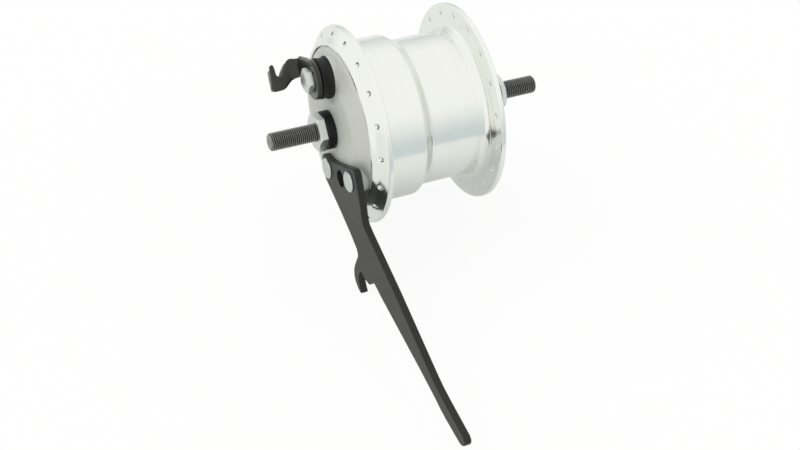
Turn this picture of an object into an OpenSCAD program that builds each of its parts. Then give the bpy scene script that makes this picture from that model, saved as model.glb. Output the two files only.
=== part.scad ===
// Front hub with a dynamo and a drum brake, as an assembly of separate pieces.
// The axle lies along Y: brake side at -Y, dynamo side at +Y. Z is up, X is towards the reaction arm.

/* [Axle] */
// distance between the two locknut faces
old_width = 100; // [90:1:110]
// radius of the threaded axle ends
axle_r = 4.5; // [4:0.5:5]
// radius of the thick middle of the axle
axle_mid_r = 6; // [5.5:0.5:7]
// axle length beyond the left locknut
left_reach = 23; // [15:1:30]
// axle length beyond the right locknut
right_reach = 19; // [15:1:30]
// width across flats of the locknuts
nut_flats = 17; // [15:1:19]
// height of the locknuts
nut_h = 3.8; // [3:0.1:6]

/* [Shell] */
// height of both spoke flanges over the drum barrel
flange_h = 9.2; // [7:0.1:12]
// thickness of the flanges
flange_t = 2.7; // [2:0.1:4]
// wall of the shell over the brake drum's liner
drum_wall = 2.9; // [2:0.1:4]
// wall of the shell over the dynamo
dynamo_wall = 2.8; // [2:0.1:4]
// length of the shell's mouth in front of the left flange
mouth_len = 5.5; // [5:0.1:8]
// room for the terminals between the right bearing and its locknut
terminal_room = 8.7; // [8:0.1:12]

/* [Spokes] */
// spokes in each flange
spoke_count = 18; // [12:1:20]
// radius of a spoke hole
spoke_hole_r = 1.3; // [1.2:0.05:1.5]
// distance of the left spoke holes from the flange's edge
left_spoke_edge = 3.9; // [2.5:0.1:5.5]
// distance of the right spoke holes from the flange's edge
right_spoke_edge = 4.6; // [2.5:0.1:5.5]
// angle of the first hole in the left flange
left_spoke_angle = 17.2; // [0:0.1:20]
// angle of the first hole in the right flange
right_spoke_angle = 7.4; // [0:0.1:20]

/* [Brake plate] */
// length of the plastic collar between plate and locknut
collar_len = 4.7; // [3:0.1:8]
// thickness of the plate
plate_t = 4; // [3:0.5:5]
// radius of the plastic collar round the axle
collar_r = 9.5; // [8:0.1:11]

/* [Reaction arm] */
// thickness of the arm
arm_t = 3.5; // [3:0.1:5]
// radius of a rivet's head
rivet_head_r = 5.2; // [4:0.1:6]
// height of a rivet's head
rivet_head_h = 1.2; // [0.8:0.1:2]
// radius of a rivet's shank
rivet_r = 2.6; // [2:0.1:3.5]

/* [Lever] */
// thickness of the lever's strip
lever_t = 2.6; // [2:0.1:4]
// radius of the lever's round end
lever_disc_r = 9.7; // [8:0.1:11]
// distance of the lever's front face from the plate's face
lever_out = 8.5; // [8:0.1:12]
// direction in which the cable leaves the lever, turned by half a turn
pull_angle = 142; // [130:1:155]
// width across flats of the lever bolt's head
bolt_flats = 11; // [10:0.5:13]
// height of the lever bolt's head
bolt_h = 3.4; // [2:0.1:6]

/* [Brake] */
// radius of the drum's running surface
drum_r = 35; // [34:0.5:36]
// thickness of the drum's iron liner
liner_t = 2; // [1.5:0.1:3]
// width of the brake shoes
shoe_w = 18.5; // [14:0.5:24]
// gap between lining and drum at rest
shoe_gap = 0.8; // [0.5:0.1:1.5]
// thickness of a lining
lining_t = 2.5; // [2:0.1:4]
// radius of the cam spindle
spindle_r = 5.5; // [4.5:0.1:6.5]
// half thickness of the cam
cam_half_t = 4; // [3:0.1:5]
// half width of the cam
cam_half_w = 5; // [4:0.1:6]
// radius of the fulcrum pin
fulcrum_r = 4; // [3:0.1:5]

/* [Dynamo] */
// claw poles on each side of the stator
pole_count = 8; // [6:1:14]
// outer radius of the stator claws
stator_r = 29.2; // [27:0.1:30]
// air gap between claws and magnets
air_gap = 0.7; // [0.5:0.1:1.5]
// thickness of the magnets
magnet_t = 1.7; // [1.5:0.1:3]

/* [Bearings] */
// outer radius of the ball bearings
bearing_r = 14; // [13:0.5:16]
// width of the ball bearings
bearing_w = 8; // [7:0.5:10]
// radius of the circle the balls run on
ball_circle_r = 10; // [9:0.1:11]
// radius of a ball
ball_r = 2.2; // [1.8:0.1:2.4]
// balls in each bearing
ball_count = 8; // [7:1:10]

/* [Hidden] */
// running clearance on the radius of turning pins
run_gap = 0.05;
// loose clearance between pieces that move past each other
free_gap = 0.3;
round_fn = 96;
half_old = old_width / 2;
left_tip_y = -half_old - left_reach;
right_tip_y = half_old + right_reach;
nut_r = nut_flats / 2 / cos(30);
bolt_r = bolt_flats / 2 / cos(30);
left_nut_y = -half_old + nut_h;
right_nut_y = half_old - nut_h;
// radii of the shell, from the drum and the stator outwards
liner_out_r = drum_r + liner_t;
drum_out_r = liner_out_r + drum_wall;
plate_r = drum_out_r - 0.1;
mouth_r = plate_r + 0.5;
flange_r = drum_out_r + flange_h;
left_spoke_r = flange_r - left_spoke_edge;
right_spoke_r = flange_r - right_spoke_edge;
yoke_t = 1.8;
yoke_r = stator_r + air_gap + magnet_t;
cavity_r = yoke_r + yoke_t;
dynamo_out_r = cavity_r + dynamo_wall;
cap_r = dynamo_out_r + 1.8;
cap_screw_circle_r = cap_r - 2.8;
// brake side, counted from the left locknut
plate_face_y = left_nut_y + collar_len;
plate_in_y = plate_face_y + plate_t;
plate_boss_y = plate_in_y + 4.5;
arm_face_y = plate_face_y - arm_t;
lever_face_y = plate_face_y - lever_out;
lever_back_y = lever_face_y + lever_t;
washer_t = 0.5;
bolt_corner = 2.8;
// how far the flats are turned from level
nut_turn = 14;
bolt_turn = 16;
mouth_y = plate_in_y + 0.1;
left_flange_y = mouth_y + mouth_len;
shoe_y = [plate_in_y + 5, plate_in_y + 5 + shoe_w];
web_t = 4.8;
web_split_y = shoe_y[0] + 8.5;
front_web_y = [web_split_y - 0.2 - web_t, web_split_y - 0.2];
rear_web_y = [web_split_y + 0.2, web_split_y + 0.2 + web_t];
drum_floor_y = shoe_y[1] + 7.5;
drum_floor_t = 4;
left_bearing_y = drum_floor_y - 3;
left_seat_y = left_bearing_y + bearing_w;
// dynamo side, counted from the right locknut
spacer_r = axle_mid_r + 1;
spacer_y = right_nut_y - 4;
right_seat_y = right_nut_y - terminal_room;
right_bearing_y = right_seat_y - bearing_w;
right_flange_y = right_bearing_y - 3.1;
cap_y = right_flange_y + flange_t;
block_y = [right_seat_y + 1.9, right_nut_y - 1];
terminal_t = 0.8;
terminal_y = (block_y[0] + block_y[1]) / 2 - 0.5;
terminal_angle = 205;
// the dynamo fills what is left between them
cavity_y = drum_floor_y + drum_floor_t;
stator_y = [cavity_y + 3.5, right_flange_y - 1.4];
yoke_y = [stator_y[0] - 1, stator_y[1] + 1];
claw_t = 2;
core_r = axle_mid_r + 4;
bobbin_y = [stator_y[0] + claw_t, stator_y[1] - claw_t];
bobbin_t = 1.2;
// bearings
inner_race_r = ball_circle_r - 1.7;
outer_race_r = ball_circle_r + 1.7;
seal_r = bearing_r - 1.5;
// cam, fulcrum and rivet places as X, Z pairs
drum_scale = drum_r / 35;
cam_at = [-6.5, 27.1] * drum_scale;
fulcrum_at = [7.1, -18.4] * drum_scale;
rivet_at = [33, -5.5] * drum_scale;
arm_hole_at = [22.8, -12.2];
arm_hole_r = 4.2;
plate_boss_r = norm(fulcrum_at) - fulcrum_r - 3.5;
bush_r = spindle_r + 1.9;
// direction from fulcrum to cam
split_angle = atan2(cam_at[1] - fulcrum_at[1], cam_at[0] - fulcrum_at[0]);
shoe_out_r = drum_r - shoe_gap;
shoe_rim_r = shoe_out_r - lining_t;
web_in_r = shoe_rim_r - 8.7;
spring_r = web_in_r + 1.8;
// the lever's frame: local X points across the pull, local Z against it, with the cam at the origin
across_angle = pull_angle - 90;
cheek_in = -15;
cheek_gap_r = 1.2;
bend_r = 4.5;
turn_y = -10.7;

// Helpers

module cyl_y(r, y0, y1, fn = round_fn) {
    translate([0, y0, 0]) rotate([-90, 0, 0]) cylinder(r = r, h = y1 - y0, $fn = fn);
}

module tube_y(r_in, r_out, y0, y1) {
    difference() {
        cyl_y(r_out, y0, y1);
        cyl_y(r_in, y0 - 1, y1 + 1);
    }
}

// turned body from [radius, y] points
module turned(points) {
    rotate([-90, 0, 0]) rotate_extrude($fn = round_fn) polygon(points);
}

// X, Z place at a radius and an angle round the axle
function polar(radius, angle) = [radius * cos(angle), radius * sin(angle)];

// flat X, Z outline from y0 to y1
module flat_y(y0, y1) {
    translate([0, y1, 0]) rotate([90, 0, 0]) linear_extrude(height = y1 - y0) children();
}

module arc_y(r0, r1, a0, a1, y0, y1) {
    translate([0, y1, 0]) rotate([90, 0, 0]) rotate([0, 0, a0])
        rotate_extrude(angle = a1 - a0, $fn = round_fn) translate([r0, 0]) square([r1 - r0, y1 - y0]);
}

module at_xz(place) {
    translate([place[0], 0, place[1]]) children();
}

module round_the_axle(radius, angle) {
    translate([radius * cos(angle), 0, radius * sin(angle)]) children();
}

module hex_y(r, y0, y1) {
    translate([0, y0, 0]) rotate([-90, 0, 0]) cylinder(r = r, h = y1 - y0, $fn = 6);
}

// hex nut with its corners turned off by some width on the face that points away
module nut_y(r, y0, y1, out, corner = 1.1) {
    face_y = out < 0 ? y0 : y1;
    back_y = out < 0 ? y1 : y0;
    intersection() {
        hex_y(r, y0, y1);
        turned([[0, back_y], [r + 1, back_y], [r + 0.2, face_y - out * 1.3], [r - corner, face_y],
            [0, face_y]]);
    }
}

// Axle and what stays still with it

module axle() {
    color("#4a4a4a") difference() {
        turned([[0, left_tip_y], [axle_r - 0.8, left_tip_y], [axle_r, left_tip_y + 0.8],
            [axle_r, -half_old - 0.6], [axle_r - 0.3, -half_old - 0.6], [axle_r - 0.3, -half_old],
            [axle_r, -half_old], [axle_r, plate_face_y], [axle_mid_r, plate_face_y],
            [axle_mid_r, right_seat_y], [axle_r, right_seat_y], [axle_r, half_old],
            [axle_r - 0.3, half_old], [axle_r - 0.3, half_old + 0.6], [axle_r, half_old + 0.6],
            [axle_r, right_tip_y - 0.8], [axle_r - 0.8, right_tip_y], [0, right_tip_y]]);
        rotate([0, -terminal_angle, 0]) translate([axle_r, stator_y[1] - 6, -1.6])
            cube([3, right_seat_y + 7 - stator_y[1], 3.2]);
    }
}

module left_locknut() {
    color("#c4c7c9") difference() {
        rotate([0, -nut_turn, 0]) nut_y(nut_r, -half_old, left_nut_y, -1);
        cyl_y(axle_r, -half_old - 1, left_nut_y + 1);
    }
}

module left_collar() {
    color("#1e1e1e") turned([[axle_r, left_nut_y], [collar_r - 0.8, left_nut_y], [collar_r, left_nut_y + 0.8],
        [collar_r, plate_face_y], [axle_r, plate_face_y]]);
}

module brake_plate() {
    color("#b4b5b3") difference() {
        union() {
            turned([[axle_mid_r, plate_face_y], [plate_r - 13.8, plate_face_y],
                [plate_r - 11, plate_face_y + 0.5], [plate_r - 2.2, mouth_y - 0.5],
                [plate_r - 0.7, mouth_y + 0.1], [plate_r, mouth_y + 0.9], [plate_r, mouth_y + 1.4],
                [plate_r - 8.5, mouth_y + 1.4], [plate_r - 12, plate_in_y], [plate_boss_r, plate_in_y],
                [plate_boss_r, plate_boss_y], [axle_mid_r, plate_boss_y]]);
            at_xz(cam_at) cyl_y(bush_r + 2.7, plate_face_y + 0.02, plate_in_y + 0.9);
            at_xz(cam_at) arc_y(bush_r + 2.2, bush_r + 5.4, 230, 310, plate_face_y - 2, plate_face_y + 0.6);
            at_xz(rivet_at) cyl_y(rivet_head_r + 0.8, plate_face_y + 0.02, plate_in_y + 0.4);
        }
        at_xz(cam_at) {
            cyl_y(bush_r, plate_face_y - 2, plate_in_y + 1.5);
            cyl_y(bush_r + 2.95, plate_face_y - 2, plate_face_y + 0.01);
        }
        at_xz(fulcrum_at) cyl_y(rivet_r, plate_face_y - 1, plate_in_y + 1);
        at_xz(rivet_at) cyl_y(rivet_r, plate_face_y - 1, plate_boss_y);
    }
}

// outline drawn with the fulcrum rivet at [7.1, -18.4]
module arm_outline() {
    translate(fulcrum_at - [7.1, -18.4]) difference() {
        polygon([[0.4, -14.6], [1.6, -14], [8.4, -12.2], [13.6, -9.7], [25.8, -2.3], [32.8, 2.5],
            [35.2, 3.9], [37, 4.4], [38.4, 3.9], [39.4, 2.6], [43.7, -4.1], [46.2, -7.8], [48, -11],
            [49.5, -14.8], [51.6, -17.2], [56, -18.7], [89.4, -26.3], [113, -32.6], [134, -38.3],
            [139.2, -39.4], [146.7, -40.2], [166.6, -41.6], [168.4, -42.6], [168.9, -44.4],
            [168, -46.4], [166.4, -47.8], [164.2, -48.3], [150, -48.1],
            [144.3, -47.7], [139.2, -46.8], [122, -45], [97.4, -43.2],
            [76.7, -41.6], [71.5, -40.9], [67.5, -40.4], [65.4, -43.2], [63.3, -45.9],
            [62, -46.5], [59.4, -47], [56.4, -47.2], [54.4, -46.6], [52.8, -47], [51.6, -48.8],
            [50.9, -51.4], [51.2, -53.4], [52.3, -55.6], [54, -57.5], [55.2, -58.4], [55.2, -59.5],
            [54, -60.1], [51, -59.8], [47.6, -58.2], [45.6, -55.6], [44.9, -52.4], [45.3, -49.3],
            [46.6, -45.2], [48, -41], [47.9, -39.6], [46.2, -37.6], [37.7, -34.6],
            [24.5, -31], [11.1, -27.9], [5.6, -26.6], [2.4, -24.4], [0.4, -20.8], [-0.4, -16]]);
        translate(arm_hole_at) circle(r = arm_hole_r, $fn = round_fn);
    }
}

module reaction_arm() {
    color("#2a2b2a") difference() {
        flat_y(arm_face_y, plate_face_y) arm_outline();
        at_xz(fulcrum_at) cyl_y(rivet_r, arm_face_y - 1, plate_face_y + 1);
        at_xz(rivet_at) cyl_y(rivet_r, arm_face_y - 1, plate_face_y + 1);
    }
}

module one_rivet(end_y) {
    head_y = arm_face_y - rivet_head_h;
    turned([[0, head_y], [rivet_head_r - 0.8, head_y], [rivet_head_r, head_y + 0.6],
        [rivet_head_r, arm_face_y], [rivet_r, arm_face_y], [rivet_r, end_y], [0, end_y]]);
}

module reaction_arm_rivets() {
    color("#cfd6d8") {
        at_xz(fulcrum_at) one_rivet(plate_in_y);
        at_xz(rivet_at) one_rivet(plate_in_y);
    }
}

module fulcrum_pin() {
    head_r = fulcrum_r + 3;
    end_y = shoe_y[1] - 2;
    color("#8d9092") at_xz(fulcrum_at) turned([[0, plate_in_y], [head_r, plate_in_y], [head_r, shoe_y[0] + 1],
        [fulcrum_r, shoe_y[0] + 1], [fulcrum_r, end_y - 0.6], [fulcrum_r - 0.6, end_y], [0, end_y]]);
}

module cam_bush() {
    top_y = lever_back_y + free_gap;
    bore = spindle_r + run_gap;
    color("#141414") at_xz(cam_at) turned([[bore, top_y], [bush_r + 2.2, top_y], [bush_r + 2.6, top_y + 0.4],
        [bush_r + 2.6, top_y + 1], [bush_r + 2.2, top_y + 1.8], [bush_r + 2.1, plate_face_y - 1.9],
        [bush_r + 2.4, plate_face_y - 1], [bush_r + 2.9, plate_face_y - 0.4], [bush_r + 2.9, plate_face_y],
        [bush_r, plate_face_y], [bush_r, plate_in_y], [bore, plate_in_y]]);
}

module plate_spacer() {
    color("#9a9c9e") tube_y(axle_mid_r, inner_race_r + 0.2, plate_boss_y, left_bearing_y);
}

module race_groove(y) {
    translate([0, y, 0]) rotate([-90, 0, 0]) rotate_extrude($fn = round_fn)
        translate([ball_circle_r, 0]) circle(r = ball_r + free_gap, $fn = 32);
}

module inner_race(y) {
    difference() {
        tube_y(axle_mid_r, inner_race_r, y, y + bearing_w);
        race_groove(y + bearing_w / 2);
    }
}

module outer_race(y) {
    difference() {
        tube_y(outer_race_r, bearing_r, y, y + bearing_w);
        race_groove(y + bearing_w / 2);
    }
}

module left_inner_race() {
    color("#c9cccd") inner_race(left_bearing_y);
}

module right_inner_race() {
    color("#c9cccd") inner_race(right_bearing_y);
}

module claws(plate_y, from_y, to_y, turn) {
    pitch = 360 / pole_count;
    difference() {
        union() {
            cyl_y(stator_r - 0.9, plate_y, plate_y + claw_t);
            for (i = [0 : pole_count - 1])
                arc_y(stator_r - 1.9, stator_r, i * pitch + turn - 7, i * pitch + turn + 7, from_y, to_y);
        }
        cyl_y(axle_mid_r, plate_y - 1, plate_y + claw_t + 1);
    }
}

module stator_left_claws() {
    color("#84878a") claws(stator_y[0], stator_y[0] + 0.2, bobbin_y[1] - 2, 10);
}

module stator_right_claws() {
    color("#84878a") claws(bobbin_y[1], bobbin_y[0] + 2, stator_y[1] - 0.2, 10 + 180 / pole_count);
}

module stator_core() {
    color("#7c7f82") tube_y(axle_mid_r, core_r, bobbin_y[0], bobbin_y[1]);
}

module coil_bobbin() {
    color("#d8d4c4") turned([[core_r, bobbin_y[0]], [stator_r - 2.8, bobbin_y[0]],
        [stator_r - 2.8, bobbin_y[0] + bobbin_t], [core_r + bobbin_t, bobbin_y[0] + bobbin_t],
        [core_r + bobbin_t, bobbin_y[1] - bobbin_t], [stator_r - 2.8, bobbin_y[1] - bobbin_t],
        [stator_r - 2.8, bobbin_y[1]], [core_r, bobbin_y[1]]]);
}

module coil_winding() {
    color("#b06a34") tube_y(core_r + bobbin_t, stator_r - 3.6, bobbin_y[0] + bobbin_t,
        bobbin_y[1] - bobbin_t);
}

module coil_leads() {
    color("#a33a2a") rotate([0, -terminal_angle, 0]) {
        translate([axle_r + 0.75, 0, -0.8]) cyl_y(0.65, stator_y[1] - 5, spacer_y - 0.6, 24);
        translate([axle_r + 0.75, 0, 0.8]) cyl_y(0.65, stator_y[1] - 5, spacer_y - 0.6, 24);
    }
}

module right_spacer() {
    color("#9a9c9e") difference() {
        tube_y(axle_r, spacer_r, right_seat_y, block_y[1]);
        rotate([0, -terminal_angle, 0]) translate([axle_r - 1, right_seat_y - 1, -1.6])
            cube([4, spacer_y - right_seat_y + 1, 3.2]);
    }
}

module terminal_strips(length) {
    for (side = [-1, 1])
        rotate([0, -terminal_angle, 0]) translate([bearing_r + 2, terminal_y, side * 4 - 2.4])
            cube([length, terminal_t, 4.8]);
}

module terminal_block() {
    color("#1b1b1b") difference() {
        union() {
            cyl_y(bearing_r, block_y[0], block_y[1]);
            rotate([0, -terminal_angle, 0]) translate([bearing_r - 4, block_y[0] + 0.5, -8])
                cube([14, block_y[1] - block_y[0] - 1, 16]);
        }
        cyl_y(spacer_r, right_seat_y, half_old);
        terminal_strips(9);
    }
}

module terminals() {
    color("#d0d2d0") terminal_strips(15);
}

module right_locknut() {
    color("#c4c7c9") difference() {
        union() {
            nut_y(nut_r, right_nut_y, half_old, 1);
            cyl_y(nut_r + 0.4, block_y[1], right_nut_y);
        }
        cyl_y(axle_r, right_nut_y - 2, half_old + 1);
    }
}

// Hub shell and what turns with it

module hub_shell() {
    rim_y = left_flange_y + flange_t;
    step = drum_out_r - dynamo_out_r;
    color("#e4e5e6") difference() {
        turned([[mouth_r, mouth_y], [mouth_r + 1.1, mouth_y], [mouth_r + 1.5, mouth_y + 0.4],
            [mouth_r + 3.7, mouth_y + 2.3], [flange_r - 1, left_flange_y - 0.25],
            [flange_r - 0.25, left_flange_y + 0.3], [flange_r, left_flange_y + 1], [flange_r, rim_y - 0.8],
            [flange_r - 0.3, rim_y - 0.2], [flange_r - 1, rim_y], [flange_r - 3.3, rim_y - 1.1],
            [flange_r - 5.5, rim_y - 1.3], [drum_out_r + 1.6, rim_y - 0.9], [drum_out_r + 0.7, rim_y],
            [drum_out_r + 0.2, rim_y + 1.1], [drum_out_r, rim_y + 2.4],
            [drum_out_r, cavity_y - 5.3], [drum_out_r - 0.05 * step, cavity_y - 4.25],
            [drum_out_r - 0.19 * step, cavity_y - 3.3], [drum_out_r - 0.4 * step, cavity_y - 2.5],
            [drum_out_r - 0.62 * step, cavity_y - 1.8], [drum_out_r - 0.81 * step, cavity_y - 1],
            [drum_out_r - 0.95 * step, cavity_y - 0.1], [dynamo_out_r, cavity_y + 0.9],
            [dynamo_out_r, right_flange_y - 4.8], [dynamo_out_r + 0.25, right_flange_y - 3.3],
            [dynamo_out_r + 0.95, right_flange_y - 1.9], [dynamo_out_r + 2.1, right_flange_y - 0.8],
            [dynamo_out_r + 3.5, right_flange_y - 0.2], [dynamo_out_r + 5.2, right_flange_y],
            [flange_r - 0.8, right_flange_y], [flange_r - 0.2, right_flange_y + 0.3],
            [flange_r, right_flange_y + 0.9], [flange_r, cap_y - 0.9], [flange_r - 0.2, cap_y - 0.3],
            [flange_r - 0.8, cap_y], [cap_r, cap_y], [cap_r, cap_y - 2], [cavity_r, cap_y - 2],
            [cavity_r, cavity_y], [bearing_r + 3.5, cavity_y], [bearing_r + 3.5, left_seat_y],
            [bearing_r, left_seat_y], [bearing_r, left_bearing_y], [seal_r, left_bearing_y],
            [seal_r, left_bearing_y - 1.5], [bearing_r + 3.5, left_bearing_y - 1.5],
            [bearing_r + 3.5, drum_floor_y], [liner_out_r, drum_floor_y], [liner_out_r, mouth_y + 2.4],
            [mouth_r, mouth_y + 2.4]]);
        for (i = [0 : spoke_count - 1]) {
            round_the_axle(left_spoke_r, left_spoke_angle + i * 360 / spoke_count)
                cyl_y(spoke_hole_r, mouth_y - 2, rim_y + 1, 32);
            round_the_axle(right_spoke_r, right_spoke_angle + i * 360 / spoke_count)
                cyl_y(spoke_hole_r, right_flange_y - 1, cap_y + 1, 32);
        }
        for (i = [0 : 5])
            round_the_axle(cap_screw_circle_r, i * 60 + 30) cyl_y(1.1, cap_y - 4.4, cap_y - 1, 32);
    }
}

module drum_liner() {
    color("#7b7d7e") tube_y(drum_r, liner_out_r, mouth_y + 2.8, drum_floor_y);
}

module left_outer_race() {
    color("#c9cccd") outer_race(left_bearing_y);
}

module right_outer_race() {
    color("#c9cccd") outer_race(right_bearing_y);
}

module left_seal() {
    color("#262626") tube_y(inner_race_r + 0.6, seal_r, left_bearing_y - 1.4, left_bearing_y);
}

module right_seal() {
    color("#262626") tube_y(inner_race_r + 0.4, seal_r + 0.1, right_seat_y, right_seat_y + 0.9);
}

module magnet_yoke() {
    color("#6f7275") tube_y(yoke_r, cavity_r, yoke_y[0], yoke_y[1]);
}

module magnets() {
    pitch = 180 / pole_count;
    color("#38393b") for (i = [0 : 2 * pole_count - 1])
        arc_y(stator_r + air_gap, yoke_r, i * pitch, i * pitch + pitch - 1, stator_y[0], stator_y[1]);
}

module end_cap() {
    color("#d5d6d7") difference() {
        turned([[bearing_r, right_bearing_y], [bearing_r + 3, right_bearing_y],
            [bearing_r + 5.5, right_bearing_y + 2.1], [cavity_r - 2.4, cap_y - 2], [cap_r, cap_y - 2],
            [cap_r, cap_y], [cap_r - 4, cap_y + 0.6], [bearing_r + 7, right_seat_y - 1.5],
            [bearing_r + 4.4, right_seat_y + 0.4], [bearing_r + 3.6, right_seat_y + 0.9],
            [seal_r + 0.1, right_seat_y + 0.9], [seal_r + 0.1, right_seat_y], [bearing_r, right_seat_y]]);
        for (i = [0 : 5])
            round_the_axle(cap_screw_circle_r, i * 60 + 30) {
                cyl_y(1.1, cap_y - 3, cap_y + 2, 32);
                cyl_y(1.9, cap_y - 0.8, cap_y + 2, 32);
            }
    }
}

module end_cap_screws() {
    top_y = cap_y + 1.1;
    color("#b9bcbe") for (i = [0 : 5])
        round_the_axle(cap_screw_circle_r, i * 60 + 30) difference() {
            turned([[0, cap_y - 4.4], [1.1, cap_y - 4.4], [1.1, cap_y - 0.8], [1.9, cap_y - 0.8],
                [1.9, cap_y + 0.7], [1.2, top_y], [0, top_y]]);
            for (turn = [0, 90])
                rotate([0, turn, 0]) translate([-1.2, top_y - 0.7, -0.3]) cube([2.4, 1, 0.6]);
        }
}

// Bearing balls and cages

module balls(y) {
    for (i = [0 : ball_count - 1])
        round_the_axle(ball_circle_r, i * 360 / ball_count) translate([0, y, 0]) sphere(r = ball_r, $fn = 32);
}

module cage(y) {
    difference() {
        tube_y(ball_circle_r - 0.8, ball_circle_r + 0.8, y - ball_r - 0.7, y + ball_r + 0.7);
        for (i = [0 : ball_count - 1])
            rotate([0, i * 360 / ball_count, 0]) translate([ball_circle_r - 2, y, 0]) rotate([0, 90, 0])
                cylinder(r = ball_r + 0.1, h = 4, $fn = 48);
    }
}

module left_balls() {
    color("#d7dadb") balls(left_bearing_y + bearing_w / 2);
}

module left_cage() {
    color("#b28a3c") cage(left_bearing_y + bearing_w / 2);
}

module right_balls() {
    color("#d7dadb") balls(right_bearing_y + bearing_w / 2);
}

module right_cage() {
    color("#b28a3c") cage(right_bearing_y + bearing_w / 2);
}

// Brake lever and cam

module lever_frame() {
    at_xz(cam_at) translate([0, lever_face_y, 0]) rotate([0, -across_angle, 0]) children();
}

// the lever's bent strip seen along the pull, as [across, y]
module lever_strip() {
    far_in = cheek_in - lever_t - 2 * cheek_gap_r;
    bend_at = [cheek_in + bend_r, -bend_r];
    turn_at = [cheek_in - lever_t - cheek_gap_r, turn_y];
    difference() {
        union() {
            intersection() {
                translate(bend_at) circle(r = bend_r + lever_t, $fn = 64);
                translate(bend_at - [20, 0]) square([20, 20]);
            }
            translate([cheek_in - lever_t, turn_y]) square([lever_t, -bend_r - turn_y]);
            translate([far_in - lever_t, turn_y]) square([lever_t, 7]);
            intersection() {
                translate(turn_at) circle(r = cheek_gap_r + lever_t, $fn = 64);
                translate(turn_at - [20, 20]) square([40, 20]);
            }
            translate([cheek_in + bend_r, 0]) square([3, lever_t]);
        }
        translate(bend_at) circle(r = bend_r, $fn = 64);
        translate(turn_at) circle(r = cheek_gap_r, $fn = 64);
    }
}

// the lever's hook seen across the strip, as [y, along]
module hook_outline() {
    polygon([[5, 13.4], [2.6, 13.7], [1, 14.1], [-0.5, 14.9], [-1.8, 15.6], [-3, 15.8], [-4.4, 15],
        [-5.4, 13.7], [-6.7, 12.1], [-7.7, 10.7], [-8.4, 8.9], [-9.2, 8.3], [-10.6, 8.4], [-11, 9.6],
        [-10.9, 12], [-11.1, 13.7], [-11.6, 14.6], [-12.4, 14.7], [-13.1, 14.2], [-13.5, 11.5],
        [-14.1, 5.9], [-14.6, 2.6], [-14, 1.5], [-11.4, 1.4], [-9, 1.5], [-7.5, 2.2], [-5.7, 3.8],
        [-3.8, 5.2], [-1.9, 5.8], [5, 5.4]]);
}

// moves an outline drawn as [y, along] into the lever's frame
module across_strip(from, to) {
    translate([from, 0, 0]) rotate([90, 0, 90]) linear_extrude(height = to - from) children();
}

module brake_lever() {
    color("#262726") difference() {
        lever_frame() {
            difference() {
                intersection() {
                    linear_extrude(height = 20) lever_strip();
                    across_strip(cheek_in - 20, cheek_in + 12) hook_outline();
                }
                across_strip(cheek_in - 20, cheek_in - lever_t) {
                    translate([-20, 13]) square([10, 10]);
                    translate([-20, -1]) square([20, 3.6]);
                }
            }
            flat_y(0, lever_t) {
                polygon([[-10.2, 13.9], [-7, 13.3], [-3.5, 12.1], [0, 10.4], [3.5, 9], [5, 0], [-6, -2],
                    [-9.3, 2.2], [-10.2, 5.6]]);
                circle(r = lever_disc_r, $fn = round_fn);
            }
        }
        at_xz(cam_at) translate([-3.5, lever_face_y - 1, -3.5]) cube([7, lever_t + 2, 7]);
    }
}

module cam_spindle() {
    color("#8d9092") at_xz(cam_at) {
        cyl_y(spindle_r, lever_back_y, shoe_y[0]);
        difference() {
            translate([-3.5, lever_face_y + 0.2, -3.5]) cube([7, lever_t, 7]);
            cyl_y(2.5, lever_face_y - 1, lever_back_y + 0.1);
        }
        rotate([0, 90 - split_angle, 0]) translate([-cam_half_t, shoe_y[0] - 0.1, -cam_half_w])
            cube([2 * cam_half_t, shoe_w - 2.5, 2 * cam_half_w]);
    }
}

module lever_washer() {
    color("#6d7072") at_xz(cam_at) tube_y(2.5, bolt_flats / 2 - 0.3, lever_face_y - washer_t, lever_face_y);
}

module lever_bolt() {
    base_y = lever_face_y - washer_t;
    color("#d3dadb") at_xz(cam_at) {
        rotate([0, -bolt_turn, 0]) nut_y(bolt_r, base_y - bolt_h, base_y, -1, bolt_corner);
        cyl_y(2.5, base_y - 0.1, lever_back_y);
    }
}

// Brake shoes

module shoe_pad(side) {
    at_xz(cam_at) rotate([0, 90 - split_angle, 0])
        translate([side > 0 ? cam_half_t + free_gap : -cam_half_t - free_gap - 5, shoe_y[0] + 1.5, -6])
            cube([5, shoe_w - 4.5, 9]);
}

module shoe_eye(web_y) {
    at_xz(fulcrum_at) cyl_y(fulcrum_r + 3.4, web_y[0], web_y[1]);
}

module front_shoe() {
    color("#a5a8aa") difference() {
        union() {
            arc_y(shoe_rim_r - 2.2, shoe_rim_r, -48, 84, shoe_y[0], shoe_y[1]);
            arc_y(web_in_r, shoe_rim_r - 1.4, -46, 82, front_web_y[0], front_web_y[1]);
            shoe_pad(1);
            shoe_eye(front_web_y);
            flat_y(front_web_y[0] + 0.4, front_web_y[1] - 0.4)
                polygon([fulcrum_at + [-1.1, 5], polar(web_in_r + 2.2, -45.2), polar(web_in_r + 6, -45.2),
                    fulcrum_at + [-1.1, -5.6]]);
            round_the_axle(spring_r, 57) cyl_y(1.3, front_web_y[0] + 1, shoe_y[1] + 1.2, 32);
        }
        at_xz(fulcrum_at) cyl_y(fulcrum_r + run_gap, plate_face_y, shoe_y[1] + 4);
    }
}

module front_lining() {
    color("#4b463f") arc_y(shoe_rim_r, shoe_out_r, -44, 80, shoe_y[0], shoe_y[1]);
}

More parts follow.
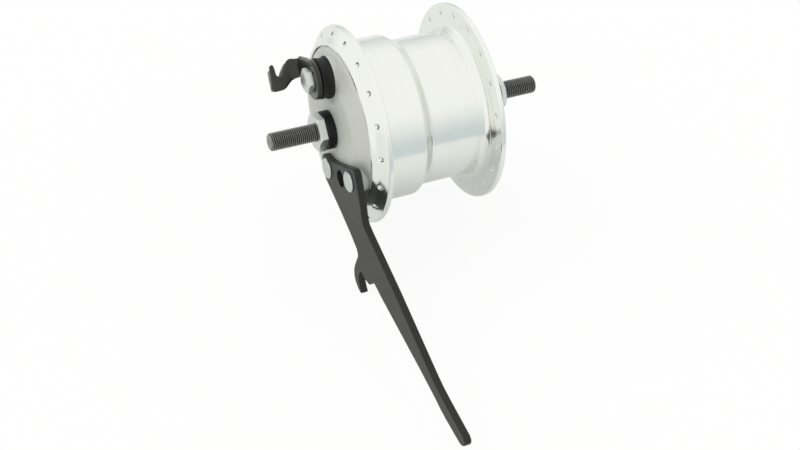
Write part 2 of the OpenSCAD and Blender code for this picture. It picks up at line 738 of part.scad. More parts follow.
module rear_shoe() {
    color("#a5a8aa") difference() {
        union() {
            arc_y(shoe_rim_r - 2.2, shoe_rim_r, 122, 268, shoe_y[0], shoe_y[1]);
            arc_y(web_in_r, shoe_rim_r - 1.4, 124, 266, rear_web_y[0], rear_web_y[1]);
            shoe_pad(-1);
            shoe_eye(rear_web_y);
            flat_y(rear_web_y[0] + 0.4, rear_web_y[1] - 0.4)
                polygon([fulcrum_at + [-1.7, 5], polar(web_in_r + 0.8, 263.7), polar(web_in_r + 5.2, 265),
                    fulcrum_at + [0.9, -6]]);
            round_the_axle(spring_r, 145) cyl_y(1.3, rear_web_y[0] + 1, shoe_y[1] + 1.2, 32);
        }
        at_xz(fulcrum_at) cyl_y(fulcrum_r + run_gap, plate_face_y, shoe_y[1] + 4);
    }
}

module rear_lining() {
    color("#4b463f") arc_y(shoe_rim_r, shoe_out_r, 126, 264, shoe_y[0], shoe_y[1]);
}

module return_spring() {
    from = polar(spring_r, 57);
    to = polar(spring_r, 145);
    reach = norm(to - from);
    turn = atan2(to[1] - from[1], to[0] - from[0]);
    eye_y = shoe_y[1] - 2.4;
    wire_y = eye_y + 0.7;
    color("#777a7c") at_xz(from) rotate([0, -turn, 0]) {
        tube_y(1.6, 2.5, eye_y, eye_y + 1.4);
        translate([reach, 0, 0]) tube_y(1.6, 2.5, eye_y, eye_y + 1.4);
        translate([2.2, wire_y, 0]) rotate([0, 90, 0]) cylinder(r = 0.6, h = reach - 4.4, $fn = 24);
        translate([6, wire_y, 0]) rotate([0, 90, 0]) cylinder(r = 2, h = reach - 12, $fn = 32);
    }
}

axle();
left_locknut();
left_collar();
brake_plate();
reaction_arm();
reaction_arm_rivets();
fulcrum_pin();
cam_bush();
plate_spacer();
left_inner_race();
right_inner_race();
stator_left_claws();
stator_right_claws();
stator_core();
coil_bobbin();
coil_winding();
coil_leads();
right_spacer();
terminal_block();
terminals();
right_locknut();
hub_shell();
drum_liner();
left_outer_race();
right_outer_race();
left_seal();
right_seal();
magnet_yoke();
magnets();
end_cap();
end_cap_screws();
left_balls();
left_cage();
right_balls();
right_cage();
brake_lever();
cam_spindle();
lever_washer();
lever_bolt();
front_shoe();
front_lining();
rear_shoe();
rear_lining();
return_spring();
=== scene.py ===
import math

import bmesh
import bpy
from mathutils import Matrix, Vector


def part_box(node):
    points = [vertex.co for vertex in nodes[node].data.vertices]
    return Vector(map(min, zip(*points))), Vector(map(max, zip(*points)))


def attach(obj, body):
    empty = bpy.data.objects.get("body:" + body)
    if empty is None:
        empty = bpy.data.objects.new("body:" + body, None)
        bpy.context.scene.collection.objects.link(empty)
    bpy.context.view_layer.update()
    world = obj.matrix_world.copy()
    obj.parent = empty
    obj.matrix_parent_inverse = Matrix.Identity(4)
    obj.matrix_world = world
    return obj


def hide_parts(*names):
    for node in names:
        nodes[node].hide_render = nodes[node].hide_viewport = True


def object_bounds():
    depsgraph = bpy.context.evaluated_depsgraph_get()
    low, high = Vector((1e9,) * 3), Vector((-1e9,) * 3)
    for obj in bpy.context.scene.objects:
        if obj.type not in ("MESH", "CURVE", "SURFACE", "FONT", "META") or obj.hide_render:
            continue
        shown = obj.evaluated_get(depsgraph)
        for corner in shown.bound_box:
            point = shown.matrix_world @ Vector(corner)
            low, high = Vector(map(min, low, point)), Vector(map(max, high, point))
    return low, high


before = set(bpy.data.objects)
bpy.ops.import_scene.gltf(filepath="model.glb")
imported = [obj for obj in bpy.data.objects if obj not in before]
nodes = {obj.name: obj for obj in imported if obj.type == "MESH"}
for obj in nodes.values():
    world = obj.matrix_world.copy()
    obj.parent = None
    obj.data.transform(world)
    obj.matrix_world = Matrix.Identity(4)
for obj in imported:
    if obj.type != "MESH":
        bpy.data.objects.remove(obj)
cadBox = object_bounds()
scene = bpy.context.scene
mm = 0.001  # the scene is in metres; sizes in the dictionaries are in mm and angles in degrees, unless said
print("frame loaded:", len(nodes), "nodes")


def linear(hexColour):  # sRGB hex to the linear values that shaders take
    values = [int(hexColour[i:i + 2], 16) / 255 for i in (1, 3, 5)]
    return tuple(v / 12.92 if v <= 0.04045 else ((v + 0.055) / 1.055) ** 2.4 for v in values) + (1.0,)


def addNode(tree, kind, inputs=None, **settings):  # one node with its settings, and its inputs linked or set
    node = tree.nodes.new(kind)
    for name, value in settings.items():
        setattr(node, name, value)
    for name, value in (inputs or {}).items():
        if isinstance(value, bpy.types.NodeSocket):
            tree.links.new(value, node.inputs[name])
        else:
            node.inputs[name].default_value = value
    return node


def addObject(name, mesh, body, node):  # a piece of the scene that stands for a CAD node
    obj = bpy.data.objects.new(name, mesh)
    scene.collection.objects.link(obj)
    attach(obj, body)
    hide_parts(node)
    return obj


# Materials: the comment above each says what its surface gives the eye. Grain is the size of the surface's pattern
# and height its depth, and tint and dull are how far it changes the colour and the roughness. Rings and grit that
# are too fine to show are drawn coarser, up to the size that shows.
plainFinish = {"metal": 0, "gloss": 0.5, "lacquer": 0.0, "turned": False}  # unless a finish says otherwise
finishes = {
    # near white, with fine turning rings
    "shell_alloy": {"made": "polished aluminium", "colour": "#f2f3f0", "metal": 1, "rough": 0.17,
                    "grain": 0.35, "tint": 0.02, "dull": 0.06, "height": 0.0006, "turned": True},
    # even satin grey
    "plate_alloy": {"made": "silver lacquered die casting", "colour": "#c3c4c0", "metal": 0.4, "rough": 0.55,
                    "grain": 0.25, "tint": 0.05, "dull": 0.1, "height": 0.005},
    # satin black, with a slight orange peel
    "black_paint": {"made": "stoved paint", "colour": "#1a1b19", "rough": 0.4, "gloss": 0.36,
                    "grain": 0.9, "tint": 0.1, "dull": 0.08, "height": 0.01},
    # dull grey, on the thread crests and the rest of the axle
    "phosphated_steel": {"made": "phosphated steel", "colour": "#959593", "metal": 0.9, "rough": 0.38,
                         "grain": 0.4, "tint": 0.1, "dull": 0.1, "height": 0.003},
    # painted shade: dark in the roots of the threads, standing in for the shade in the grooves
    "painted_root_shade": {"made": "phosphate with painted root shade", "colour": "#494947", "metal": 0.9, "rough": 0.45,
                     "grain": 0.4, "tint": 0.1, "dull": 0.1, "height": 0.003},
    # bluish white, with faint clouds
    "zinc_steel": {"made": "zinc plate", "colour": "#cad1d1", "metal": 1, "rough": 0.3,
                   "grain": 1.1, "tint": 0.03, "dull": 0.05, "height": 0.0008},
    # pale silver, with a soft satin
    "bright_zinc": {"made": "bright zinc plate", "colour": "#dcdedc", "metal": 1, "rough": 0.36,
                    "grain": 0.8, "tint": 0.03, "dull": 0.06, "height": 0.0008},
    # dark, with a pale sheen at a flat angle
    "black_zinc": {"made": "black zinc under clear lacquer", "colour": "#0b0c0b", "rough": 0.36, "gloss": 0.3,
                   "lacquer": 0.7, "grain": 0.7, "tint": 0.1, "dull": 0.08, "height": 0.006},
    # dull black
    "black_plastic": {"made": "moulded nylon", "colour": "#0f100f", "rough": 0.48, "gloss": 0.28,
                      "grain": 0.3, "tint": 0.12, "dull": 0.1, "height": 0.006},
    # bare and faintly ringed
    "bright_steel": {"made": "turned steel", "colour": "#b9bcbe", "metal": 1, "rough": 0.3,
                     "grain": 0.3, "tint": 0.05, "dull": 0.1, "height": 0.002, "turned": True},
    # mirror bright
    "bearing_steel": {"made": "ground bearing steel", "colour": "#dadddf", "metal": 1, "rough": 0.1,
                      "grain": 0.5, "tint": 0.02, "dull": 0.04, "height": 0.0004, "turned": True},
    # smooth and matt
    "cream_plastic": {"made": "moulded cream plastic", "colour": "#d9d2bd", "rough": 0.45,
                      "grain": 0.4, "tint": 0.05, "dull": 0.1, "height": 0.004},
    # warm red, in fine rings of wire
    "copper": {"made": "enamelled copper wire", "colour": "#b8703c", "metal": 1, "rough": 0.32,
               "grain": 0.45, "tint": 0.2, "dull": 0.1, "height": 0.06, "turned": True},
    # soft and dull
    "lead_sleeve": {"made": "red wire sleeve", "colour": "#9d2f22", "rough": 0.45,
                    "grain": 0.5, "tint": 0.06, "dull": 0.08, "height": 0.004},
    # soft silver
    "tinned_brass": {"made": "tinned brass", "colour": "#d6d6cf", "metal": 1, "rough": 0.3,
                     "grain": 0.5, "tint": 0.06, "dull": 0.1, "height": 0.002},
    # grey, with fine rings
    "drum_iron": {"made": "bored cast iron", "colour": "#77787a", "metal": 1, "rough": 0.38,
                  "grain": 0.4, "tint": 0.12, "dull": 0.12, "height": 0.004, "turned": True},
    # dull black
    "seal_rubber": {"made": "rubber", "colour": "#232323", "rough": 0.6,
                    "grain": 0.4, "tint": 0.08, "dull": 0.08, "height": 0.006},
    # dark and chalky
    "ferrite": {"made": "sintered ferrite", "colour": "#3a3b3d", "metal": 0.2, "rough": 0.55,
                "grain": 0.25, "tint": 0.15, "dull": 0.1, "height": 0.005},
    # warm and smooth
    "cage_brass": {"made": "pressed brass", "colour": "#c39a4d", "metal": 1, "rough": 0.3,
                   "grain": 0.6, "tint": 0.06, "dull": 0.1, "height": 0.003},
    # rough and pale
    "shoe_alloy": {"made": "sand cast alloy", "colour": "#b3b5b5", "metal": 1, "rough": 0.5,
                   "grain": 0.5, "tint": 0.1, "dull": 0.12, "height": 0.02},
    # speckled brown grey
    "lining": {"made": "brake lining", "colour": "#5a534a", "rough": 0.75,
               "grain": 0.5, "tint": 0.35, "dull": 0.1, "height": 0.02},
}
ownFinish = {"left_locknut": "bright_zinc", "right_locknut": "bright_zinc", "lever_bolt": "bright_zinc",
             "brake_lever": "black_zinc"}  # pieces that differ a little from the rest of their slot
grainLook = {"fineDetail": 4.0, "fineRoughness": 0.6,
             "cloudGrains": 14, "cloudDetail": 3.0,  # a cloud is 14 grains across
             "low": 0.7, "high": 1.3,  # reach of the two noises together
             "palest": 0.97, "lacquerRough": 0.25}


def makeMaterial(slot):  # fine grain and soft clouds in the colour and the roughness, and the grain in the relief
    finish = {**plainFinish, **finishes[slot]}
    rough, tint, dull = finish["rough"], finish["tint"], finish["dull"]
    mat = bpy.data.materials.new(finish["made"])
    mat.use_nodes = True
    tree = mat.node_tree
    tree.nodes.clear()
    place = addNode(tree, "ShaderNodeTexCoord").outputs["Object"]
    if finish["turned"]:  # radius and y in place of x, y and z
        flat = addNode(tree, "ShaderNodeVectorMath", {0: place, 1: (1, 0, 1)}, operation="MULTIPLY").outputs[0]
        radius = addNode(tree, "ShaderNodeVectorMath", {0: flat}, operation="LENGTH").outputs["Value"]
        along = addNode(tree, "ShaderNodeSeparateXYZ", {0: place}).outputs["Y"]
        place = addNode(tree, "ShaderNodeCombineXYZ", {"X": radius, "Y": along}).outputs[0]
    fineScale = 1 / (finish["grain"] * mm)
    cloudScale = 1 / (finish["grain"] * grainLook["cloudGrains"] * mm)
    fine = addNode(tree, "ShaderNodeTexNoise", {"Vector": place, "Scale": fineScale,
                                                "Detail": grainLook["fineDetail"],
                                                "Roughness": grainLook["fineRoughness"]}).outputs["Fac"]
    cloud = addNode(tree, "ShaderNodeTexNoise", {"Vector": place, "Scale": cloudScale,
                                                 "Detail": grainLook["cloudDetail"]}).outputs["Fac"]
    mixed = addNode(tree, "ShaderNodeMath", {0: fine, 1: cloud}, operation="ADD").outputs[0]
    reach = {"Value": mixed, "From Min": grainLook["low"], "From Max": grainLook["high"]}
    base = linear(finish["colour"])[:3]
    dark = tuple(v * (1 - tint) for v in base) + (1.0,)
    light = tuple(min(v * (1 + tint), grainLook["palest"]) for v in base) + (1.0,)
    share = addNode(tree, "ShaderNodeMapRange", reach).outputs[0]
    tone = addNode(tree, "ShaderNodeMix", {"Factor": share, 6: dark, 7: light}, data_type="RGBA").outputs[2]
    matt = addNode(tree, "ShaderNodeMapRange", {**reach, "To Min": rough - dull / 2,
                                                "To Max": rough + dull / 2}).outputs[0]
    bump = addNode(tree, "ShaderNodeBump", {"Height": fine, "Distance": finish["height"] * mm,
                                            "Strength": 1.0}).outputs[0]
    shader = addNode(tree, "ShaderNodeBsdfPrincipled", {"Base Color": tone, "Metallic": finish["metal"],
                                                        "Roughness": matt, "Normal": bump,
                                                        "Specular IOR Level": finish["gloss"],
                                                        "Coat Weight": finish["lacquer"],
                                                        "Coat Roughness": grainLook["lacquerRough"]})
    addNode(tree, "ShaderNodeOutputMaterial", {"Surface": shader.outputs[0]})
    return mat


materials = {slot: makeMaterial(slot) for slot in finishes}
for name, node in nodes.items():
    slot = ownFinish.get(name, node.data.materials[0].name.split(".")[0])
    node.data.materials.clear()
    node.data.materials.append(materials[slot])
print("materials made:", len(materials))

# Hub shell, turned finely, with its spoke holes. The corners of its profile are radius, y and rounding
shellLook = {
    "leftFront": [(40.3, -35, 0), (40.3, -37.4, 0.3), (41.7, -37.4, 0.5),  # lip round the brake plate
                  (44, -35.1, 3), (48.68, -32, 0.7), (49.08, -30.5, 0)],  # front of the left flange
    "leftBack": [(49.08, -30.5, 0), (49.08, -29.2, 0.8), (47.48, -29.3, 0.8), (44.48, -30.5, 3),  # rim and back
                 (39.9, -30.3, 2.6), (39.9, -8.4, 2.2), (36.2, -3.6, 3), (36.2, 18.4, 0)],  # drum, step, dynamo
    "rightFront": [(36.2, 18.4, 0), (36.2, 26.4, 5), (49.08, 26.4, 0.7), (49.08, 27.8, 0)],
    "rightBack": [(49.08, 27.8, 0), (49.08, 29.1, 0.7), (38, 29.1, 0.2), (38, 27.1, 0),  # seat of the end cap
                  (33.4, 27.1, 0), (33.4, -2.5, 0), (17.5, -2.5, 0), (17.5, -6.5, 0),  # dynamo's room, bearing
                  (37, -6.5, 0), (37, -35, 0), (40.3, -35, 0)],  # inside of the drum
    "holes": 18, "holeR": 1.3, "holeEdge": 0.25, "holeStrip": 1.9,  # half the strip that is kept for the holes
    "leftHoleR": 45.2, "rightHoleR": 44.5, "leftHoleAngle": 17.2, "rightHoleAngle": 7.4,
    "stepsPerHole": 8, "sharp": 35}


def roundedLine(corners, steps=7):  # (radius, y, rounding) corners to a line with each corner rounded
    line = []
    for i, (radius, y, rounding) in enumerate(corners):
        here = Vector((radius, y))
        if rounding == 0 or i in (0, len(corners) - 1):
            line.append(here)
            continue
        before, after = Vector(corners[i - 1][:2]) - here, Vector(corners[i + 1][:2]) - here
        reach = rounding / math.tan(before.angle(after) / 2)
        start, end = here + before.normalized() * reach, here + after.normalized() * reach
        for k in range(steps + 1):
            t = k / steps
            line.append(start * (1 - t) ** 2 + here * 2 * t * (1 - t) + end * t ** 2)
    return line


def yAt(line, radius):  # y where the line crosses a radius
    for a, b in zip(line, line[1:]):
        if (a.x - radius) * (b.x - radius) <= 0 and a.x != b.x:
            return a.y + (b.y - a.y) * (radius - a.x) / (b.x - a.x)


class Turning:  # vertices and faces of a body turned round the axle
    def __init__(self, steps):
        self.steps, self.verts, self.faces = steps, [], []

    def point(self, radius, y, angle):
        self.verts.append((radius * math.cos(angle) * mm, y * mm, radius * math.sin(angle) * mm))
        return len(self.verts) - 1

    def ring(self, radius, y, start):
        turn = 2 * math.pi / self.steps
        return [self.point(radius, y, start + i * turn) for i in range(self.steps)]

    def join(self, first, second):
        count = len(first)
        for i in range(count):
            self.faces.append((first[i], first[(i + 1) % count], second[(i + 1) % count], second[i]))

    def mesh(self, name, sharp):
        made = bpy.data.meshes.new(name)
        made.from_pydata(self.verts, [], self.faces)
        tidy = bmesh.new()
        tidy.from_mesh(made)
        bmesh.ops.recalc_face_normals(tidy, faces=tidy.faces)
        tidy.to_mesh(made)
        tidy.free()
        made.shade_smooth()
        made.set_sharp_from_angle(angle=math.radians(sharp))
        return made


def flangeFace(body, line, inner, outer, holeR, angle, edgeIn):
    # the strip of a flange's face between two rings, with a hole in each sector; gives back the holes' edges
    look, perHole = shellLook, shellLook["stepsPerHole"]
    pitch = 2 * math.pi / look["holes"]
    low, high = holeR - look["holeStrip"], holeR + look["holeStrip"]
    sides = []
    for h in range(look["holes"]):
        a = angle + (h - 0.5) * pitch
        radii = [low + (high - low) * k / perHole for k in range(1, perHole)]
        sides.append([body.point(r, yAt(line, r), a) for r in radii])
    wide = look["holeR"] + look["holeEdge"]
    # from the sector's border in to the wide edge of the chamfer, then down to the hole
    inwards = [(0.5, wide, 0), (0.8, wide, 0), (1.0, wide, 0), (1.0, look["holeR"], edgeIn)]
    edges = []
    for h in range(look["holes"]):
        middle = angle + h * pitch
        cx, cz = holeR * math.cos(middle), holeR * math.sin(middle)
        first, last = h * perHole, (h + 1) * perHole
        innerRun = [inner[k % body.steps] for k in range(first, last + 1)]
        outerRun = [outer[k % body.steps] for k in range(first, last + 1)]
        border = innerRun + sides[(h + 1) % look["holes"]] + outerRun[::-1] + sides[h][::-1]
        rings = [border]
        for share, size, sink in inwards:
            ring = []
            for v in border:
                x, _, z = (c / mm for c in body.verts[v])
                bearing = math.atan2(z - cz, x - cx)
                nx = x + (cx + size * math.cos(bearing) - x) * share
                nz = z + (cz + size * math.sin(bearing) - z) * share
                radius = math.hypot(nx, nz)
                ring.append(body.point(radius, yAt(line, radius) + sink, math.atan2(nz, nx)))
            rings.append(ring)
        for a, b in zip(rings, rings[1:]):
            body.join(a, b)
        edges.append(rings[-1])
    return edges


def addFlange(body, front, back, holeR, angle):  # both faces of a flange between the same radii, and the holes
    look = shellLook
    low, high = holeR - look["holeStrip"], holeR + look["holeStrip"]
    start = angle - math.pi / look["holes"]
    strips, edges = [], []
    for line, sink in ((front, look["holeEdge"]), (back, -look["holeEdge"])):
        inner = body.ring(low, yAt(line, low), start)
        outer = body.ring(high, yAt(line, high), start)
        edges.append(flangeFace(body, line, inner, outer, holeR, angle, sink))
        strips.append((inner, outer))
    for a, b in zip(*edges):
        body.join(a, b)
    return strips


def addRun(body, line, start, before=None, after=None):  # rings along a line, from and to rings that exist
    rings = [before] if before else []
    rings += [body.ring(p.x, p.y, start) for p in line]
    rings += [after] if after else []
    for a, b in zip(rings, rings[1:]):
        body.join(a, b)
    return rings[0]


def turnShell():
    look = shellLook
    lines = (look[side] for side in ("leftFront", "leftBack", "rightFront", "rightBack"))
    leftFront, leftBack, rightFront, rightBack = (roundedLine(corners) for corners in lines)
    leftLow, leftHigh = look["leftHoleR"] - look["holeStrip"], look["leftHoleR"] + look["holeStrip"]
    rightLow, rightHigh = look["rightHoleR"] - look["holeStrip"], look["rightHoleR"] + look["holeStrip"]
    body = Turning(look["stepsPerHole"] * look["holes"])
    leftAngle, rightAngle = math.radians(look["leftHoleAngle"]), math.radians(look["rightHoleAngle"])
    leftStart, rightStart = leftAngle - math.pi / look["holes"], rightAngle - math.pi / look["holes"]
    shift = round((rightStart - leftStart) / (2 * math.pi / body.steps))  # whole steps between the two starts
    leftFaces = addFlange(body, leftFront, leftBack, look["leftHoleR"], leftAngle)
    rightFaces = addFlange(body, rightFront, rightBack, look["rightHoleR"], rightAngle)
    mouthRing = addRun(body, [p for p in leftFront if p.x < leftLow], leftStart, after=leftFaces[0][0])
    leftRim = [p for p in leftFront if p.x > leftHigh] + [p for p in leftBack[1:] if p.x > leftHigh]
    addRun(body, leftRim, leftStart, leftFaces[0][1], leftFaces[1][1])
    # the rings of the right flange, counted from the left flange's start
    turnedBack = [ring[-shift:] + ring[:-shift] for ring in (rightFaces[0][0], rightFaces[1][0])]
    barrel = [p for p in leftBack if p.x < leftLow] + [p for p in rightFront[1:] if p.x < rightLow]
    addRun(body, barrel, leftStart, leftFaces[1][0], turnedBack[0])
    rightRim = [p for p in rightFront if p.x > rightHigh] + [p for p in rightBack[1:] if p.x > rightHigh]
    addRun(body, rightRim, rightStart, rightFaces[0][1], rightFaces[1][1])
    inside = [p for p in rightBack if p.x < rightLow][:-1]  # its last point is on the mouth's ring
    addRun(body, inside, leftStart, turnedBack[1], mouthRing)
    return body.mesh("hubShell", look["sharp"])


shellObject = addObject("hubShell", turnShell(), "hub", "hub_shell")
shellObject.data.materials.append(materials["shell_alloy"])
print("hub shell turned:", len(shellObject.data.vertices), "points")

# Axle with its rolled threads
threadLook = {"radius": 4.5, "pitch": 1.0, "depth": 0.7,  # a little deep, so that it shows
              "tip": 0.8, "inside": 46, "rows": 8, "around": 64, "paintedShadeFrom": 0.5, "sharp": 60,
              "middleR": 6, "leftTaper": 4.5, "rightTaper": 8.5,  # thick middle, and the way up to it
              "centreR": 1.2, "centreDepth": 0.9, "centrePoint": 0.05}  # lathe centres in the ends


def threadWave(y, angle):  # 0 on the crest of the thread and 1 in its root
    return 0.5 + 0.5 * math.cos(2 * math.pi * y / threadLook["pitch"] + angle)


def threadRadius(y, angle, tip):  # radius of the thread's flank, and of the chamfer at the end
    flank = threadLook["radius"] - threadLook["depth"] * threadWave(y, angle)
    return min(flank, threadLook["radius"] - threadLook["tip"] + abs(y - tip))


def threadRings(axle, tip, end):
    around = threadLook["around"]
    count = round(abs(end - tip) / (threadLook["pitch"] / threadLook["rows"]))
    angles = [2 * math.pi * k / around for k in range(around)]
    rings = []
    for i in range(count + 1):
        y = tip + (end - tip) * i / count
        rings.append([axle.point(threadRadius(y, a, tip), y, a) for a in angles])
    return rings


def centreMark(axle, tip, depth):
    return [axle.ring(threadLook["centrePoint"], tip + depth, 0), axle.ring(threadLook["centreR"], tip, 0)]


def threadAxle():
    look = threadLook
    low, high = (end.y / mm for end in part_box("axle"))
    axle = Turning(look["around"])
    rings = centreMark(axle, low, look["centreDepth"]) + threadRings(axle, low, -look["inside"])
    rings.append(axle.ring(look["middleR"], -look["inside"] + look["leftTaper"], 0))
    rings.append(axle.ring(look["middleR"], look["inside"] - look["rightTaper"], 0))
    rings += threadRings(axle, high, look["inside"])[::-1]
    rings += centreMark(axle, high, -look["centreDepth"])[::-1]
    for a, b in zip(rings, rings[1:]):
        axle.join(a, b)
    axle.faces += [tuple(rings[0]), tuple(rings[-1])]  # closes the points of the centre marks
    return axle.mesh("threadedAxle", look["sharp"])


axleObject = addObject("threadedAxle", threadAxle(), "axle_assembly", "axle")
axleObject.data.materials.append(materials["phosphated_steel"])
axleObject.data.materials.append(materials["painted_root_shade"])
# faces in the roots of the threads take the painted root shade
for face in axleObject.data.polygons:
    x, y, z = face.center / mm
    threaded = abs(y) > threadLook["inside"] and math.hypot(x, z) > threadLook["radius"] - threadLook["tip"]
    if threaded and threadWave(y, math.atan2(z, x)) > threadLook["paintedShadeFrom"]:
        face.material_index = 1
print("axle threaded:", len(axleObject.data.vertices), "points")

# Reaction arm with rolled edges
cleanUp = {"weld": 0.005, "flat": 0.4}  # makes a CAD mesh's flat faces whole again
armLook = {"edge": 0.4, "segments": 3, "edgeFrom": 40, "sharp": 30}


def rollArm():
    arm = bmesh.new()
    arm.from_mesh(nodes["reaction_arm"].data)
    arm.transform(nodes["reaction_arm"].matrix_world)
    bmesh.ops.remove_doubles(arm, verts=arm.verts, dist=cleanUp["weld"] * mm)
    bmesh.ops.dissolve_limit(arm, angle_limit=math.radians(cleanUp["flat"]), verts=arm.verts, edges=arm.edges)
    edgeFrom = math.radians(armLook["edgeFrom"])
    edges = [e for e in arm.edges if e.is_manifold and e.calc_face_angle(0) > edgeFrom]
    bmesh.ops.bevel(arm, geom=edges, offset=armLook["edge"] * mm, segments=armLook["segments"], affect="EDGES",
                    profile=0.5, clamp_overlap=False)
    made = bpy.data.meshes.new("reactionArm")
    arm.to_mesh(made)
    arm.free()
    made.shade_smooth()
    made.set_sharp_from_angle(angle=math.radians(armLook["sharp"]))
    return made


armObject = addObject("reactionArm", rollArm(), "axle_assembly", "reaction_arm")
armObject.data.materials.append(materials["black_paint"])
armObject.modifiers.new("flatFaces", "WEIGHTED_NORMAL").keep_sharp = True
print("reaction arm rolled:", len(armObject.data.vertices), "points")

# Other pieces keep the CAD mesh. Modifiers round the edges of these, none so wide that it would cut itself
edgeLook = {"left_locknut": 0.05, "right_locknut": 0.05, "left_collar": 0.25, "cam_bush": 0.19,
            "lever_bolt": 0.07, "lever_washer": 0.1, "reaction_arm_rivets": 0.22, "end_cap_screws": 0.045,
            "terminal_block": 0.15, "terminals": 0.15}
roundLook = {"segments": 3, "edgeFrom": 35, "sharp": 32}
pressedLook = {"piece": "brake_lever", "grid": 0.35, "pull": 0.5, "smoothing": 12}  # pressed steel, soft all round

for name, node in nodes.items():
    node.data.shade_smooth()
    weld = node.modifiers.new("weld", "WELD")
    weld.merge_threshold = cleanUp["weld"] * mm
    if name in edgeLook:
        whole = node.modifiers.new("wholeFaces", "DECIMATE")
        whole.decimate_type = "DISSOLVE"
        whole.angle_limit = math.radians(cleanUp["flat"])
        bevel = node.modifiers.new("edges", "BEVEL")
        bevel.width = edgeLook[name] * mm
        bevel.segments = roundLook["segments"]
        bevel.use_clamp_overlap = False  # short edges in the arcs would clamp it to nothing
        bevel.limit_method = "ANGLE"
        bevel.angle_limit = math.radians(roundLook["edgeFrom"])
    if name == pressedLook["piece"]:
        grid = node.modifiers.new("grid", "REMESH")
        grid.mode = "VOXEL"
        grid.voxel_size = pressedLook["grid"] * mm
        grid.use_smooth_shade = True
        soft = node.modifiers.new("softEdges", "SMOOTH")
        soft.factor = pressedLook["pull"]
        soft.iterations = pressedLook["smoothing"]
        continue
    split = node.modifiers.new("sharp", "EDGE_SPLIT")
    split.split_angle = math.radians(roundLook["sharp"])
    node.modifiers.new("flatFaces", "WEIGHTED_NORMAL").keep_sharp = True
print("edges rounded:", len(edgeLook) + 1, "pieces")

# White table under the object
tableLook = {"near": 210, "far": 700, "side": 700,  # its reach from the axle
             "white": 0.9, "top": "#e1e2e0", "shine": 0.4, "rough": 0.8}  # less than all white keeps a faint shadow
floorZ = cadBox[0].z
corners = [(-tableLook["far"], -tableLook["side"]), (tableLook["near"], -tableLook["side"]),
           (tableLook["near"], tableLook["side"]), (-tableLook["far"], tableLook["side"])]
tableMesh = bpy.data.meshes.new("whiteTable")
tableMesh.from_pydata([(x * mm, y * mm, floorZ) for x, y in corners], [], [(0, 1, 2, 3)])
table = bpy.data.objects.new("whiteTable", tableMesh)
scene.collection.objects.link(table)
laminate = bpy.data.materials.new("white laminate")  # plain pale floor that takes the soft shadow
laminate.use_nodes = True
tree = laminate.node_tree
tree.nodes.clear()
topColour = linear(tableLook["top"])
lit = addNode(tree, "ShaderNodeBsdfPrincipled", {"Base Color": topColour,
                                                 "Roughness": tableLook["rough"]}).outputs[0]
plain = addNode(tree, "ShaderNodeEmission", {"Color": (1, 1, 1, 1), "Strength": 1.0}).outputs[0]
rays = addNode(tree, "ShaderNodeLightPath").outputs
direct = addNode(tree, "ShaderNodeMath", {0: rays["Is Camera Ray"], 1: rays["Is Transmission Ray"]},
                 operation="MAXIMUM").outputs[0]
shown = addNode(tree, "ShaderNodeMath", {0: direct, 1: tableLook["white"]}, operation="MULTIPLY").outputs[0]
pale = addNode(tree, "ShaderNodeEmission", {"Color": topColour, "Strength": 1.0}).outputs[0]
mirrored = addNode(tree, "ShaderNodeMath", {0: rays["Is Glossy Ray"], 1: tableLook["shine"]},
                   operation="MULTIPLY").outputs[0]
inMetal = addNode(tree, "ShaderNodeMixShader", {"Fac": mirrored, 1: lit, 2: pale}).outputs[0]
tableTop = addNode(tree, "ShaderNodeMixShader", {"Fac": shown, 1: inMetal, 2: plain}).outputs[0]
addNode(tree, "ShaderNodeOutputMaterial", {"Surface": tableTop})
tableMesh.materials.append(laminate)

# Soft sun, and a pale sky over a blue-grey horizon that only the object sees: the camera sees white
lightLook = {"sunPower": 1.1, "sunSoftness": 60, "sunFrom": (-35, -60, 100),
             "sky": "#f9faf6", "horizon": "#ccd5d6", "skyFrom": -0.25, "skyTo": 0.63, "skyPower": 1.04,
             "brakeSideFrom": -0.1, "brakeSideTo": -0.5}  # the brake side looks at plain sky
sun = bpy.data.lights.new("softSun", "SUN")
sun.energy = lightLook["sunPower"]
sun.angle = math.radians(lightLook["sunSoftness"])
sunObject = bpy.data.objects.new("softSun", sun)
scene.collection.objects.link(sunObject)
sunObject.rotation_euler = Vector(lightLook["sunFrom"]).to_track_quat("Z", "Y").to_euler()
sunObject.visible_glossy = False

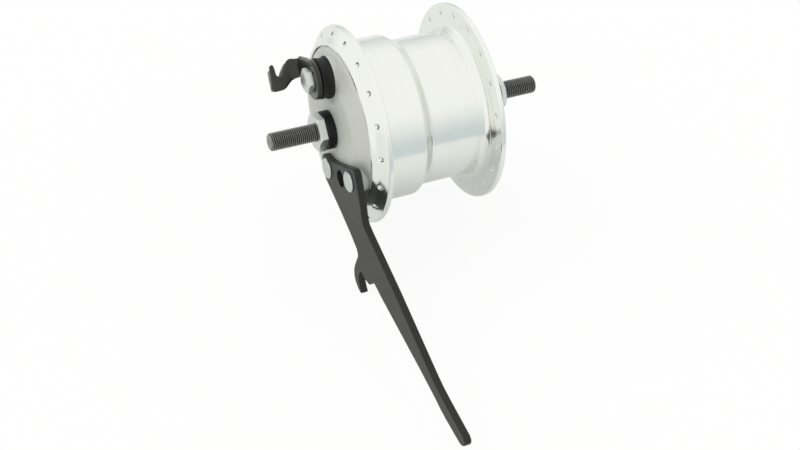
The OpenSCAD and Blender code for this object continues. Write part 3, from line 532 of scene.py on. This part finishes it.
world = bpy.data.worlds.new("studio")
scene.world = world
world.use_nodes = True
tree = world.node_tree
tree.nodes.clear()
direction = addNode(tree, "ShaderNodeTexCoord").outputs["Generated"]
parts = addNode(tree, "ShaderNodeSeparateXYZ", {0: direction}).outputs
above = addNode(tree, "ShaderNodeMapRange", {"Value": parts["Z"], "From Min": lightLook["skyFrom"],
                                             "From Max": lightLook["skyTo"]},
                interpolation_type="SMOOTHSTEP").outputs[0]
beside = addNode(tree, "ShaderNodeMapRange", {"Value": parts["Y"], "From Min": lightLook["brakeSideFrom"],
                                              "From Max": lightLook["brakeSideTo"]},
                 interpolation_type="SMOOTHSTEP").outputs[0]
share = addNode(tree, "ShaderNodeMath", {0: above, 1: beside}, operation="MAXIMUM").outputs[0]
sky = addNode(tree, "ShaderNodeMix", {"Factor": share, 6: linear(lightLook["horizon"]),
                                      7: linear(lightLook["sky"])}, data_type="RGBA").outputs[2]
room = addNode(tree, "ShaderNodeBackground", {"Color": sky, "Strength": lightLook["skyPower"]}).outputs[0]
white = addNode(tree, "ShaderNodeBackground", {"Color": (1, 1, 1, 1), "Strength": 1.0}).outputs[0]
seen = addNode(tree, "ShaderNodeLightPath").outputs["Is Camera Ray"]
both = addNode(tree, "ShaderNodeMixShader", {"Fac": seen, 1: room, 2: white}).outputs[0]
addNode(tree, "ShaderNodeOutputWorld", {"Surface": both})

# Camera, fitted to the outlines of the photograph
cameraLook = {"place": (547.41, -282.96, 493.76), "right": (0.40228, 0.91293, 0.06876),
              "up": (-0.64330, 0.22843, 0.73074), "lens": 71.9, "sensor": 36, "clip": (10, 20000)}
camera = bpy.data.cameras.new("photoCamera")
camera.lens = cameraLook["lens"]
camera.sensor_width = cameraLook["sensor"]
camera.clip_start, camera.clip_end = (reach * mm for reach in cameraLook["clip"])
cameraObject = bpy.data.objects.new("photoCamera", camera)
scene.collection.objects.link(cameraObject)
right, up = Vector(cameraLook["right"]).normalized(), Vector(cameraLook["up"]).normalized()
turn = Matrix((right, up, right.cross(up))).transposed()
cameraObject.matrix_world = Matrix.Translation(Vector(cameraLook["place"]) * mm) @ turn.to_4x4()
scene.camera = cameraObject
scene.view_settings.view_transform = "Standard"
print("table, light and camera set")
